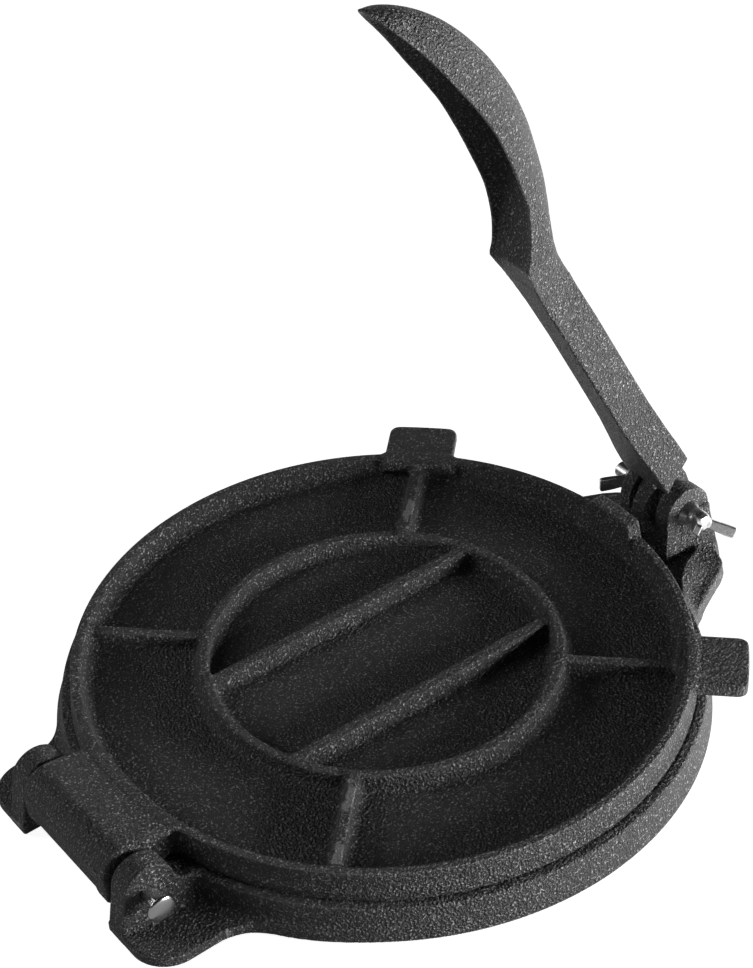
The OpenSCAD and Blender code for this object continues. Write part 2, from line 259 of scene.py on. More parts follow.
def cast(name, shape, low, high, step, pose=None):
    """Skin a formula, thin the mesh where it has too many triangles, smooth its shading."""
    points, quads = net(shape, low, high, step)
    points = settle(shape, points, 1)
    piece = place(name, plain_mesh(name, points, quads))
    if 2 * len(quads) > MOST_TRIANGLES:
        thin = piece.modifiers.new("thin_the_flats", "DECIMATE")
        thin.ratio = MOST_TRIANGLES / (2 * len(quads))
        frozen(piece)
    mesh = piece.data
    points = settle(shape, read_points(mesh), 2)
    _, rise = slope(shape, points, 0.06)
    rise /= np.maximum(np.linalg.norm(rise, axis=1), 1e-9)[:, None]
    if pose is not None:
        turn = np.array(pose.to_3x3())
        points = points @ turn.T + np.array(pose.translation)
        rise = rise @ turn.T
        if pose.determinant() < 0:
            mesh.flip_normals()
    mesh.vertices.foreach_set("co", (points / 1000).ravel())
    mesh.polygons.foreach_set("use_smooth", [True] * len(mesh.polygons))
    mesh.update()
    mesh.normals_split_custom_set_from_vertices(rise.tolist())
    box = np.concatenate([points.min(0), points.max(0)])
    print(f"{name}: {sum(len(f.vertices) - 2 for f in mesh.polygons)} triangles, box {box.round(2)}")
    return piece


# %% [markdown]
# ## Base casting
# A shallow disc, hollow from below like a pan lid to save iron, with a ring and eight spokes under
# the pressing face. Two ears carry the hinge pin, and two more on a thick foot carry the lever.
# Plan outlines of the feet are melted into the round wall, so they sweep out of it as cast feet do.

# %% Disc of the base
def base_disc(x, y, z):
    """Disc with a hollow underside, a hoop and eight spokes."""
    r = np.hypot(x, y)
    wall = (r - (BASE_R - BASE_DRAFT * z / BASE_H)) * 0.987
    disc = within(within(wall, z - BASE_H, 0.6), -z, 0.6)
    hollow = within(r - (BASE_R - 6) + 0.12 * z, z - (BASE_H - BASE_WEB), 3.5)
    disc = without(disc, hollow, 0.8)
    hoop = within(np.abs(r - 52.5) - 2.3 - 0.1 * (z - 2), 2 - z, 1.2)
    turn = np.arctan2(y, x) - math.radians(22.5)
    turn = turn - np.round(turn / math.radians(45)) * math.radians(45)
    spoke = within(np.abs(r * np.sin(turn)) - 1.8 - 0.1 * (z - 2), 2 - z, 1.0)
    spoke = np.maximum(spoke, np.maximum(r - 104, 51 - r))
    under = np.maximum(np.minimum(hoop, spoke), z - 9)
    return melt(disc, under, 2.0)


# %% Hinge ears and feet
HINGE_FOOT = soften([(-126, EAR_IN), (-126, 50.5), (-80, 50.5), (-80, EAR_IN)], [0.6, 21.9, 0, 0], 12)
EAR_SIDE = soften([(-126, -1), (-125.5, 4), (-123.1, 16.3), (-105.5, 16.3), (-104.3, 14.3), (-96, 12.2),
                   (-96, -1)], 0)


def hinge_ears(x, t, z):
    """Both hinge ears; t is the distance from the hinge's middle."""
    side = np.minimum(bore(x, z, -114.3, 16.3, 8.8), outline(x, z, EAR_SIDE))
    ear = slab(side, t, EAR_IN, EAR_OUT, 0.7)
    return np.maximum(ear, -z)


# %% Lever bracket
BRACKET_FOOT = soften([(88, -20), (88, 46), (101.1, 39.4), (121.5, 29.4), (126.4, 25.9), (130.4, 16),
                       (131.9, 9), (131.9, -20)], [0, 0, 2, 5, 5, 8, 4, 0])
POCKET = soften([(88, -20), (136, -20), (136, 8), (127.5, 8), (127.5, 13.1), (123.6, 15.7), (117.4, 18.8),
                 (114, 20.5), (110.8, 22.5), (105.9, 26.2), (103.9, 28.6), (101.6, 32), (98, 38), (88, 38)],
                [0, 0, 0, 0, 0.4, 3, 5, 6, 6, 6, 6, 6, 8, 0])
WEB_SOLE = soften([(88, -20), (88, 52), (98, 41), (100.4, 38.2), (103.4, 34), (107.4, 30.6), (111.7, 28.3),
                   (116.7, 26.6), (121.2, 25.4), (126, 22.6), (130.6, 18.2), (135, 13), (138, -20)],
                  [0, 0, 3, 6, 6, 6, 6, 6, 6, 8, 8, 0, 0])
print("bracket foot, pocket and web:", len(BRACKET_FOOT), len(POCKET), len(WEB_SOLE), "corners")


def bracket(x, y, t, z):
    """Foot with a pocket, web, props and ears; t is the distance from the lever's plane."""
    foot = outline(x, t, BRACKET_FOOT)
    body = slab(foot, z, -3, 6.3, 1.0)
    well = outline(x, t, POCKET)
    web = (outline(x, t, WEB_SOLE) + (z - 6.3) * 0.5) * 0.894
    web = within(web, (z - 9.6 + 3.2 * ramp(x, 112, 124) + 0.3 * np.maximum(well, 0)) * 0.958, 1.6)
    body = melt(body, np.maximum(web, foot), 2.0)
    body = without(body, within(well, FOOT_T - z, 1.2), 0.6)
    edge = x - PIVOT_X - LUG_R - 0.02 * (PIVOT_Z - z) + 1.2 * ramp(z, 12, 21)
    cheek = np.where(y < AXIS_Y, CHEEK_OUT, CHEEK_BACK)
    flare = (t - cheek - 0.03 * np.clip(x - 121, 0, 10) * np.clip(21.5 - z, 0, 20)) * 0.88
    prop = np.maximum(within(flare, np.maximum(edge, z - 20), 0.5), CHEEK_IN + 1 - t)
    body = melt(body, np.maximum(prop, 119 - x), 3.0)
    front = CHEEK_OUT - 0.03 * (z - FOOT_T)
    face = np.where(y < AXIS_Y, front, CHEEK_BACK)
    legs = np.maximum(np.abs(x - PIVOT_X) - LUG_R - 0.02 * (PIVOT_Z - z), z - PIVOT_Z)
    side = np.minimum(bore(x, z, PIVOT_X, PIVOT_Z, LUG_R), np.maximum(legs, -z - 3))
    ear = within(within(side, t - face, 0.45), CHEEK_IN - t, 0.45)
    soft = 0.3 + 0.4 * ramp(t, CHEEK_IN + 1.5, CHEEK_IN + 5) + 2.5 * ramp(x, 121, 127) * ramp(t, 12, 13)
    return np.maximum(melt(body, ear, soft), -z)


# %% Base casting, put together
def base_casting(x, y, z):
    """The whole base, bored for the pin and the screw."""
    disc = base_disc(x, y, z)
    t = np.abs(y - AXIS_Y)
    r = np.hypot(x, y)
    plan = np.maximum(outline(x, t, HINGE_FOOT), x + 70)
    plan = melt(r - BASE_R + 3 * ramp(x, -88, -60), plan, 9.0)
    sole = slab(plan, z, 0, FOOT_T, 0.6)
    sole = np.maximum(sole, np.maximum(WALL_IN - r, np.where(x < 0, EAR_IN - t, x)))
    soft = 0.25 + 2.9 * ramp(t, EAR_IN + 2.0, EAR_IN + 6) * ramp(x, -126, -119)
    hinge = melt(sole, hinge_ears(x, t, z), soft)
    hinge = np.maximum(hinge, WALL_IN - r)
    front = np.maximum(bracket(x, y, t, z), WALL_IN - r)
    body = melt(disc, hinge, soft)
    swing = 0.3 + 3.2 * ramp(t, CHEEK_IN, CHEEK_IN + 6)
    body = melt(body, np.maximum(front, 60 - x), swing)
    body = without(body, within(r - 102.4, BASE_H - z, 0.01), 0.5)
    pin = np.maximum(bore(x, z, HINGE_X, HINGE_Z, PIN_BORE), x + 90)
    bolt = np.maximum(bore(x, z, PIVOT_X, PIVOT_Z, BOLT_BORE), 90 - x)
    return np.maximum(without(body, np.minimum(pin, bolt), 0.4), -z)


CAST_GRID = 0.5
base = cast("base_casting", base_casting, (-128, -110, -1.5), (134, 110, 33), CAST_GRID)

# %% [markdown]
# ## Top plate casting
# The upper plate is a thin web with a rim, an inner ring, two long ribs and four short ones on its
# back. It has two lifting tabs, the pad that the lever bears on, and the tongue of the hinge. The
# ribs are tapered like all walls of a casting, so that the pattern can be drawn out of the sand.

# %% Rim, ring and ribs of the top plate
RIB_TURN = math.radians(-0.86)


def plate_web(r, z):
    """Web, rim and inner ring, all round the plate's axis."""
    web = np.abs(z - (PLATE_Z + FLOOR_Z) / 2) - (FLOOR_Z - PLATE_Z) / 2
    web = within(r - (PLATE_R - 0.1), web, 0.7)
    outer = r - (PLATE_R - 0.4 * (z - PLATE_Z) / 10.15)
    inner = (98.3 - 0.33 * (RIM_TOP - z) - r) * 0.95
    rim = within(within(within(outer, inner, 0.1), z - RIM_TOP, 0.5), PLATE_Z - z, 0.7)
    ring = within(np.abs(r - RING_R) - 1.65 - 0.3 * (RING_TOP - z), z - RING_TOP, 0.5)
    ring = np.maximum(ring * 0.97, 14 - z)
    return melt(melt(web, rim, 2.2), ring, 1.8)


def plate_ribs(x, y, r, z):
    """Two long and four short ribs, with the plan turned to the ribs' own axes."""
    c, s = math.cos(-RIB_TURN), math.sin(-RIB_TURN)
    u, v = x * c - y * s, x * s + y * c
    draft = 0.26 * (RING_TOP - z)
    long = within(np.abs(np.abs(v + 0.8) - 22.95) - 1.9 - draft, z - (RING_TOP - 0.5), 0.5)
    long = np.maximum(long, r - 58)
    short = within(np.abs(np.abs(u) - np.abs(v)) * 0.7071 - 1.7 - draft, z - (RING_TOP + 0.1), 0.5)
    short = np.maximum(short, np.maximum(58 - r, r - 99))
    return np.maximum(np.minimum(long, short) * 0.97, 14 - z), u, v


# %% Tabs, pad and tongue
TAB = soften([(95, -12.25), (118.2, -12.25), (118.2, 12.25), (95, 12.25)], [0, 4, 4, 0], 8)
TONGUE_SIDE = soften([(-121, 24.5), (-115.5, 25.7), (-112.5, 25.4), (-97.5, 22.6), (-97.5, 12.55),
                      (-104.4, 12.55), (-108, 10.2), (-115.5, 9.4), (-119, 12)], [2, 4, 3, 0, 0, 1, 3, 4, 2])
TONGUE_HALF = 23.5
print("tab and tongue outlines:", len(TAB), len(TONGUE_SIDE), "corners")


def plate_tabs(u, v, r, z):
    """Two lifting tabs across the ribs' diagonals."""
    a, b = (u + np.abs(v)) * 0.70711, (u - np.abs(v)) * 0.70711
    tab = slab(outline(a, b, TAB), z, RIM_TOP - 4.05, RIM_TOP - 0.05, 1.0)
    return within(tab, r - 118, 0.6)


def plate_pad(x, y, r, z):
    """The pad that the lever's cam bears on."""
    s = np.abs(y - AXIS_Y)
    pad = within((s - 9.5 - 0.36 * (PAD_TOP - z)) * 0.94, z - PAD_TOP, 0.5)
    pad = within(pad, r - 102.45, 0.5)
    pad = within(pad, (96.3 - 0.17 * (PAD_TOP - z) - x) * 0.98, 0.7)
    return np.maximum(pad, 13 - z)


def plate_tongue(x, y, z):
    """Tongue of the hinge with a knuckle at each end."""
    s = y - (AXIS_Y + 0.75)
    side = np.minimum(bore(x, z, HINGE_X, 17.5, 8.2), outline(x, z, TONGUE_SIDE))
    tongue = slab(side, s, -TONGUE_HALF, TONGUE_HALF, 1.3)
    below = np.maximum(np.maximum(x - HINGE_X, HINGE_X - 8.2 - x), z - 17.5)
    lip = np.maximum(bore(x, z, HINGE_X, HINGE_Z, 10.3), below)
    knuckle = np.maximum(bore(x, z, HINGE_X, HINGE_Z, 11.3), below)
    lip = slab(lip, s, -TONGUE_HALF, TONGUE_HALF, 0.8)
    knuckle = slab(knuckle, np.abs(s), TONGUE_HALF - 6, TONGUE_HALF, 0.8)
    return melt(tongue, melt(lip, knuckle, 1.0), 0.8)


# %% Top plate casting, put together
def top_casting(x, y, z):
    """The whole upper plate, bored for the pin and flat underneath."""
    r = np.hypot(x, y)
    body = plate_web(r, z)
    ribs, u, v = plate_ribs(x, y, r, z)
    body = melt(body, ribs, 1.6)
    body = melt(body, plate_tabs(u, v, r, z), 2.2)
    body = melt(body, np.maximum(plate_tongue(x, y, z), x + 97), 2.5)
    body = melt(body, plate_pad(x, y, r, z), 1.0)
    hole = np.maximum(bore(x, z, HINGE_X, HINGE_Z, PIN_BORE), x + 100)
    return np.maximum(without(body, hole, 0.3), -np.where(r < 107, z - PLATE_Z, 1.0))


top = cast("top_casting", top_casting, (-126, -104, 3.5), (106, 104, 28.5), CAST_GRID)

# %% [markdown]
# ## Lever casting
# The lever is one casting too: an eye between the bracket ears with a nose that works as the cam,
# a straight arm, and a grip like a scoop. The grip's section changes all the way along, so the
# stations of a ship's lines are used: at each distance from the pivot a half width, the height
# of the near edge and of the crown, how square the section is and how deep the scoop. A monotone
# cubic runs through the stations, which never overshoots between them.

# %% Stations of the grip
STATIONS = np.array([
    [116, 5.55, -1.7, 11.25, .1, 0], [124, 6.25, -1.75, 11.15, .12, 0], [129.5, 7.1, -1.8, 11, .18, 0],
    [134, 8, -2, 11.1, .26, .4], [139.7, 9, -2.2, 12.2, .36, 1.2], [143.3, 9.1, .7, 13.6, .44, 2],
    [149.1, 9.3, 4.2, 16.2, .6, 3.2], [154.1, 9.6, 6.4, 18.7, .75, 4.4], [163.3, 10.4, 9.2, 22, .9, 6.4],
    [173.3, 11.2, 10.4, 24.5, 1, 8.4], [184.1, 11.9, 11.3, 26.2, 1, 9.8], [193.2, 12.3, 11.6, 26.7, 1, 10.4],
    [205.9, 12.4, 10.6, 25.8, 1, 10], [216.7, 12.1, 9.1, 23.7, 1, 8.8], [226.1, 11.4, 7.8, 20.8, 1, 7],
    [234.1, 10.3, 6.3, 17.1, 1, 5], [240.5, 8.6, 4.7, 13, 1, 3], [245.5, 6.5, 3.4, 8.7, 1, 1.4],
    [249.4, 3, 2.2, 4, 1, .4]])


print(len(STATIONS), "stations,", STATIONS[-1, 0] - STATIONS[0, 0], "mm of grip")


def faired(at, xs, ys):
    """Monotone cubic through the stations."""
    h, d = np.diff(xs), np.diff(ys) / np.diff(xs)
    m = np.zeros(len(xs))
    w1, w2 = 2 * h[1:] + h[:-1], h[1:] + 2 * h[:-1]
    same = d[:-1] * d[1:] > 0
    m[1:-1][same] = ((w1 + w2)[same]) / (w1[same] / d[:-1][same] + w2[same] / d[1:][same])
    m[0], m[-1] = d[0], d[-1]
    k = np.clip(np.searchsorted(xs, at) - 1, 0, len(xs) - 2)
    t = np.clip((at - xs[k]) / h[k], 0, 1)
    return (ys[k] * (1 + 2 * t) * (1 - t) ** 2 + m[k] * h[k] * t * (1 - t) ** 2
            + ys[k + 1] * t * t * (3 - 2 * t) + m[k + 1] * h[k] * t * t * (t - 1))


# %% Grip, arm and eye
ARM_SIDE = [(12.2, -2.5), (35, -2.7), (98, -1.7), (130, -1.8), (130, 11.1), (98, 11.5), (49, 11),
            (17.6, 10.5), (14.9, 2.4)]
ARM_TOP = [(10, 10.8), (17.6, 10.7), (26, 9.8), (35, 7.9), (49, 6.1), (71, 5.6), (98, 5.5), (117, 5.6),
           (130, 6.9), (130, -6.9), (117, -5.6), (98, -5.5), (71, -5.6), (49, -6.1), (35, -7.9), (26, -9.8),
           (17.6, -10.7), (10, -10.8)]
CAM = soften([(16, 9), (15, -1.6), (10.4, -2), (9.7, -4.8), (9.2, -6.8), (8.1, -8.5), (6.8, -9.9),
              (5.5, -11.1), (3.6, -12.5), (-0.4, -13.8), (-4, -13.2), (-8, -10.2), (-10.3, -5), (-10.6, 0),
              (-9, 6), (-4, 10), (3, 11), (10, 10.5)], 3, 3)
CAM_HALF, EYE_HALF, EYE_R = 2.75, 5.75, 8
print("cam outline:", len(CAM), "corners")


def lever_grip(u, y, v):
    """The scooped grip; u runs along the lever and v towards its back."""
    half, near, crown, square, deep = [faired(u, STATIONS[:, 0], STATIONS[:, k]) for k in range(1, 6)]
    p = 2 / np.maximum(square, 0.1)
    rise = np.maximum(crown - near, 0.5)
    a, b = np.abs(y) / half, np.maximum(v - near, 0) / rise
    reach = (a ** p + b ** p + 1e-9) ** (1 / p)
    size = np.hypot(y, v - near) + 1e-6
    skin = (reach - 1) * np.minimum(half, rise) * np.minimum(1.0, size / np.minimum(half, rise) + 0.2)
    body = within(skin, near - v, 0.5)
    a, b = np.abs(y) / np.maximum(half - 1.3, 1), (v - near) / np.maximum(deep, 0.05)
    scoop = (np.hypot(a, b) - 1) * np.minimum(half, np.maximum(deep, 0.3))
    body = without(body, np.where(deep > 0.03, scoop, 9.0), 0.35)
    return np.maximum(np.maximum(body, 118 - u), u - 249.6)


def lever_casting(u, y, v):
    """The whole lever, lying along u with the screw's hole at the origin."""
    ub, vb = u - 1.3, v - 0.7
    arm = within(outline(ub, vb, ARM_SIDE), outline(ub, y, ARM_TOP), 0.8)
    arm = np.maximum(arm, ub - 124)
    body = np.minimum(arm, lever_grip(ub, y, vb))
    body = melt(body, slab(outline(u, v, CAM), y, -CAM_HALF, CAM_HALF, 0.5), 0.9)
    body = melt(body, slab(np.hypot(u, v) - EYE_R, y, -EYE_HALF, EYE_HALF, 0.5), 0.8)
    return without(body, np.hypot(u, v) - BOLT_BORE, 0.5)


stand = Matrix.Translation((PIVOT_X, AXIS_Y, PIVOT_Z)) @ Matrix(
    ((-math.cos(LEVER_REST), 0, math.sin(LEVER_REST), 0), (0, 1, 0, 0),
     (math.sin(LEVER_REST), 0, math.cos(LEVER_REST), 0), (0, 0, 0, 1)))
LEVER_GRID = 0.45
lever = cast("lever_casting", lever_casting, (-13, -15, -16), (253, 15, 30), LEVER_GRID, pose=stand)

# %% [markdown]
# ## Bright hardware
# The lever turns on a wing screw with a plated finish, held by a wing nut behind, and the plates
# turn on a polished pin with a button head. These are small turned and stamped parts with crisp,
# slightly rounded edges, so they use the same formulas on a much finer grid.

# %% Wing screw and wing nut
def wing_pair(x, y, z, turn, lean, reach, thick, wide):
    """Two wings in a plane turned about Y, each leaning along -Y, around the origin."""
    c, s = math.cos(math.radians(turn)), math.sin(math.radians(turn))
    a, b = x * c - z * s, x * s + z * c
    cl, sl = math.cos(math.radians(lean)), math.sin(math.radians(lean))
    out, over = np.abs(a) * cl - y * sl, np.abs(a) * sl + y * cl
    flat = within(np.abs(b) - wide * (0.8 + 0.2 * ramp(out, 3, reach - wide)), out - reach, 0.9)
    flat = np.maximum(flat, -out)
    return slab(flat, over, -thick / 2, thick / 2, 0.45)


def screw_formula(x, y, z):
    """Hub, domed nose, two wings and the shank; d is the depth in front of the bracket."""
    r = np.hypot(x - PIVOT_X, z - PIVOT_Z)
    face = AXIS_Y - CHEEK_OUT + 0.55
    d = face - y
    hub = within(within(r - (4.75 - 0.45 * np.clip(d, 0, 2.5)), -d, 0.2), d - 6.4, 0.8)
    hub = np.minimum(hub, within(r - 3.5, np.abs(d - 4.5) - 2.5, 0.4))
    dome = within(np.sqrt(r * r + (d - 4.2) ** 2) - 4.6, within(r - 3.2, -d, 0.2), 0.4)
    shank = within(r - 2.88, np.abs(d + 16.6) - 17.5, 0.5)
    wings = wing_pair(x - PIVOT_X, y - (face - 3.6), z - PIVOT_Z, 31, 43, 14.8, 2.3, 2.0)
    return np.minimum(melt(melt(hub, dome, 0.4), wings, 0.9), shank)


def nut_formula(x, y, z):
    """Conical hub with two flat wings behind the bracket."""
    r = np.hypot(x - PIVOT_X, z - PIVOT_Z)
    face = AXIS_Y + CHEEK_BACK + 0.05
    d = y - face
    hub = within(within(r - 4.75 + 0.2 * d, -d, 0.3), d - 4.6, 0.5)
    wings = wing_pair(x - PIVOT_X, -(y - (face + 2.2)), z - PIVOT_Z, 0, 25, 13.3, 1.9, 2.6)
    return without(melt(hub, wings, 1.0), r - 2.96, 0.3)


FINE_GRID = 0.28
screw = cast("wing_screw_bright", screw_formula, (106, -31, 9), (138, 19, 34), FINE_GRID)
nut = cast("wing_nut_bright", nut_formula, (106, 6.5, 14), (138, 20, 29), FINE_GRID)

# %% [markdown]
# ## The thread and the hinge pin
# A thread is a profile that follows a path: a ridge wound on a helix. That is a job for Geometry
# Nodes, where the diameter, the pitch and the length stay named inputs. The hinge pin is a turned
# part, so its outline is spun round the pin's line.

# %% A thread in Geometry Nodes
def maths(tree, operation, a, b):
    """A Math node on two sockets or plain numbers, in a geometry or a shader tree."""
    node = tree.nodes.new("ShaderNodeMath")
    node.operation = operation
    for socket, value in zip(node.inputs, (a, b)):
        if isinstance(value, (int, float)):
            socket.default_value = value
        else:
            tree.links.new(value, socket)
    return node.outputs[0]


def thread_tree():
    """A node tree that winds a ridge on a helix."""
    tree = bpy.data.node_groups.new("wound_thread", "GeometryNodeTree")
    io = tree.interface
    for label, value in (("Radius", 0.0027), ("Pitch", 0.001), ("Length", 0.009), ("Ridge", 0.00036)):
        io.new_socket(label, in_out="INPUT", socket_type="NodeSocketFloat").default_value = value
    io.new_socket("Finish", in_out="INPUT", socket_type="NodeSocketMaterial")
    io.new_socket("Geometry", in_out="OUTPUT", socket_type="NodeSocketGeometry")
    add, link = tree.nodes.new, tree.links.new
    given, out = add("NodeGroupInput").outputs, add("NodeGroupOutput")
    helix = add("GeometryNodeCurveSpiral")
    helix.inputs["Resolution"].default_value = 28
    link(maths(tree, "DIVIDE", given["Length"], given["Pitch"]), helix.inputs["Rotations"])
    link(given["Radius"], helix.inputs["Start Radius"])
    link(given["Radius"], helix.inputs["End Radius"])
    link(given["Length"], helix.inputs["Height"])
    section = add("GeometryNodeCurvePrimitiveCircle")
    section.inputs["Resolution"].default_value = 6
    link(given["Ridge"], section.inputs["Radius"])
    sweep = add("GeometryNodeCurveToMesh")
    sweep.inputs["Fill Caps"].default_value = True
    link(helix.outputs[0], sweep.inputs["Curve"])
    link(section.outputs[0], sweep.inputs["Profile Curve"])
    whole, paint = add("GeometryNodeRealizeInstances"), add("GeometryNodeSetMaterial")
    link(sweep.outputs[0], whole.inputs[0])
    link(whole.outputs[0], paint.inputs["Geometry"])
    link(given["Finish"], paint.inputs["Material"])
    link(paint.outputs[0], out.inputs[0])
    print("thread tree:", len(tree.nodes), "nodes")
    return tree


def grown(name, tree, values, pose):
    """Run a node tree on an empty mesh and keep the result as a plain mesh at the origin."""
    piece = place(name, bpy.data.meshes.new(name))
    run = piece.modifiers.new("grow", "NODES")
    run.node_group = tree
    for item in tree.interface.items_tree:
        if item.item_type == "SOCKET" and item.in_out == "INPUT" and item.name in values:
            run[item.identifier] = values[item.name]
    done = frozen(piece)
    done.transform(pose)
    done.polygons.foreach_set("use_smooth", [True] * len(done.polygons))
    print(name, len(done.polygons), "faces")
    return piece


# %% Turn the hinge pin on a lathe
def turned(name, profile, around=64):
    """Spin (distance along Y, radius) pairs round the hinge line into a closed mesh."""
    angle = np.arange(around) * 2 * math.pi / around
    rings = [np.stack([HINGE_X + r * np.cos(angle), np.full(around, y), HINGE_Z + r * np.sin(angle)], 1)
             for y, r in profile]
    middles = [[[HINGE_X, profile[end][0], HINGE_Z]] for end in (0, -1)]
    points = np.concatenate(rings + middles)
    faces = []
    n = len(profile)
    for k in range(n - 1):
        for j in range(around):
            a, b = k * around + j, k * around + (j + 1) % around
            faces.append((a, b, b + around, a + around))
    ends = [(n * around, (j + 1) % around, j) for j in range(around)]
    last = (n - 1) * around
    ends += [(n * around + 1, last + j, last + (j + 1) % around) for j in range(around)]
    mesh = bpy.data.meshes.new(name)
    mesh.from_pydata((points / 1000).tolist(), [], faces + ends)
    mesh.polygons.foreach_set("use_smooth", [True] * len(mesh.polygons))
    mesh.update()
    print(name, len(mesh.polygons), "faces")
    return place(name, mesh)


HEAD_Y = AXIS_Y - EAR_OUT - 7.5
pin_line = [(HEAD_Y - 1.6, 0.01), (HEAD_Y - 1.58, 1.2), (HEAD_Y - 1.45, 2.6), (HEAD_Y - 1.15, 3.9),
            (HEAD_Y - 0.8, 4.45), (HEAD_Y - 0.45, 4.68), (HEAD_Y - 0.2, 4.65), (HEAD_Y, 4.4), (HEAD_Y, 4.3),
            (HEAD_Y, 2.5), (HEAD_Y + 0.2, 2.3), (HEAD_Y + 0.3, 2.3), (AXIS_Y + EAR_OUT + 3.3, 2.3),
            (AXIS_Y + EAR_OUT + 3.5, 2.28), (AXIS_Y + EAR_OUT + 3.9, 1.9), (AXIS_Y + EAR_OUT + 4, 1.5)]
pin = turned("hinge_pin_bright", pin_line[::-1])

# %% [markdown]
# ## Finishes
# Seasoned cast iron is nearly black, but it's never flat black: the oil has polymerised into a thin
# satin film over a sandy skin. The grain of the sand breaks every highlight into sparks, and here
# the sparks are partly painted into the colour as bright specks (painted glints). Convex edges are
# lighter too, partly as rubbed wear and mostly as a painted highlight, and broad patches are drier
# than others. The grain is one shared node group, because the plated parts carry a much finer
# version of the same thing.

# %% The grain group
def grain_group():
    """Relief, specks and broad patches of a sandy skin, from Object coordinates."""
    tree = bpy.data.node_groups.new("sand_grain", "ShaderNodeTree")
    io = tree.interface
    for label, value in (("Scale", 900.0), ("Depth", 1.0), ("Patch Scale", 40.0)):
        io.new_socket(label, in_out="INPUT", socket_type="NodeSocketFloat").default_value = value
    for label in ("Height", "Speck", "Patch"):
        io.new_socket(label, in_out="OUTPUT", socket_type="NodeSocketFloat")
    add, link = tree.nodes.new, tree.links.new
    given, out = add("NodeGroupInput").outputs, add("NodeGroupOutput").inputs
    where = add("ShaderNodeTexCoord").outputs["Object"]
    fine, broad, grit = add("ShaderNodeTexNoise"), add("ShaderNodeTexNoise"), add("ShaderNodeTexVoronoi")
    fine.inputs["Detail"].default_value = 2.5
    fine.inputs["Roughness"].default_value = 0.6
    broad.inputs["Detail"].default_value = 3.0
    grit.feature = "SMOOTH_F1"
    grit.inputs["Smoothness"].default_value = 0.6
    for texture, scale in ((fine, given["Scale"]), (grit, maths(tree, "MULTIPLY", given["Scale"], 0.85)),
                           (broad, given["Patch Scale"])):
        link(where, texture.inputs["Vector"])
        link(scale, texture.inputs["Scale"])
    pits = maths(tree, "MULTIPLY", grit.outputs["Distance"], 0.45)
    relief = maths(tree, "SUBTRACT", fine.outputs[0], pits)
    link(maths(tree, "MULTIPLY", relief, given["Depth"]), out["Height"])
    link(fine.outputs[0], out["Speck"])
    link(broad.outputs[0], out["Patch"])
    print("grain group:", len(tree.nodes), "nodes")
    return tree


grain = grain_group()

# %% Materials of iron and steel
def stretch(nodes, links, source, low, high, to_low, to_high):
    """A Map Range node from low..high to to_low..to_high."""
    node = nodes.new("ShaderNodeMapRange")
    for label, value in (("From Min", low), ("From Max", high), ("To Min", to_low), ("To Max", to_high)):
        node.inputs[label].default_value = value
    links.new(source, node.inputs["Value"])
    return node.outputs["Result"]


def laid_over(nodes, links, under, over, mask):
    """A colour Mix node: the colour `over` on top of `under` where the mask is 1."""
    node = nodes.new("ShaderNodeMix")
    node.data_type = "RGBA"
    if isinstance(under, tuple):
        node.inputs["A"].default_value = (*under, 1)
    else:
        links.new(under, node.inputs["A"])
    node.inputs["B"].default_value = (*over, 1)
    links.new(mask, node.inputs["Factor"])
    return node.outputs["Result"]


def finish(name, dark, light, painted_glint, rough, metal, scale, depth, bump, ior=1.5):
    """A grainy material: dark to light in patches, with painted glints on specks and on rubbed edges."""
    material = bpy.data.materials.new(name)
    material.use_nodes = True
    nodes, links = material.node_tree.nodes, material.node_tree.links
    skin = nodes["Principled BSDF"]
    grit = nodes.new("ShaderNodeGroup")
    grit.node_tree = grain
    grit.inputs["Scale"].default_value = scale
    grit.inputs["Depth"].default_value = depth
    height, speck, patch = [grit.outputs[label] for label in ("Height", "Speck", "Patch")]
    colour = laid_over(nodes, links, dark, light, stretch(nodes, links, patch, 0.3, 0.7, 0, 1))
    # painted glints: the highest specks of the grain get the bright glint colour, a painted highlight in the
    # base colour
    colour = laid_over(nodes, links, colour, painted_glint, stretch(nodes, links, speck, 0.57, 0.7, 0, 1))
    # painted edge highlight: convex edges, found by Pointiness, get up to 45% of the glint colour; it also
    # stands for rubbed wear
    edge = nodes.new("ShaderNodeNewGeometry").outputs["Pointiness"]
    colour = laid_over(nodes, links, colour, painted_glint, stretch(nodes, links, edge, 0.53, 0.59, 0, 0.45))
    links.new(colour, skin.inputs["Base Color"])
    links.new(stretch(nodes, links, speck, 0.35, 0.68, *rough), skin.inputs["Roughness"])
    relief = nodes.new("ShaderNodeBump")
    relief.inputs["Strength"].default_value = 1.0
    relief.inputs["Distance"].default_value = bump
    links.new(height, relief.inputs["Height"])
    links.new(relief.outputs["Normal"], skin.inputs["Normal"])
    skin.inputs["Metallic"].default_value = metal
    skin.inputs["IOR"].default_value = ior
    material.diffuse_color = (*light, 1)
    print(name, "roughness", rough, "metallic", metal)
    return material


# the third colour of each finish is its painted glint colour, a painted highlight on specks and edges
iron = finish("seasoned_cast_iron", (0.005, 0.005, 0.0052), (0.01, 0.01, 0.0102), (0.6, 0.6, 0.6),
              (0.45, 0.66), 0.0, 1350, 1.0, 0.0014, ior=1.8)
plated = finish("zinc_plated_steel", (0.5, 0.5, 0.51), (0.66, 0.66, 0.67), (0.75, 0.75, 0.75),
                (0.26, 0.4), 1.0, 1800, 0.5, 0.00003)
polished = finish("polished_pin_steel", (0.62, 0.62, 0.63), (0.76, 0.76, 0.76), (0.8, 0.8, 0.8),
                  (0.14, 0.24), 1.0, 2400, 0.3, 0.00002)

# %% Wind the thread on the free end of the screw
THREAD = {"Radius": 0.00262, "Pitch": 0.001, "Length": 0.0095, "Ridge": 0.0003, "Finish": plated}
thread_start = Vector((PIVOT_X, AXIS_Y + CHEEK_BACK + 0.4, PIVOT_Z)) / 1000
thread = grown("bolt_thread", thread_tree(), THREAD,
               Matrix.Translation(thread_start) @ Matrix.Rotation(math.radians(-90), 4, "X"))
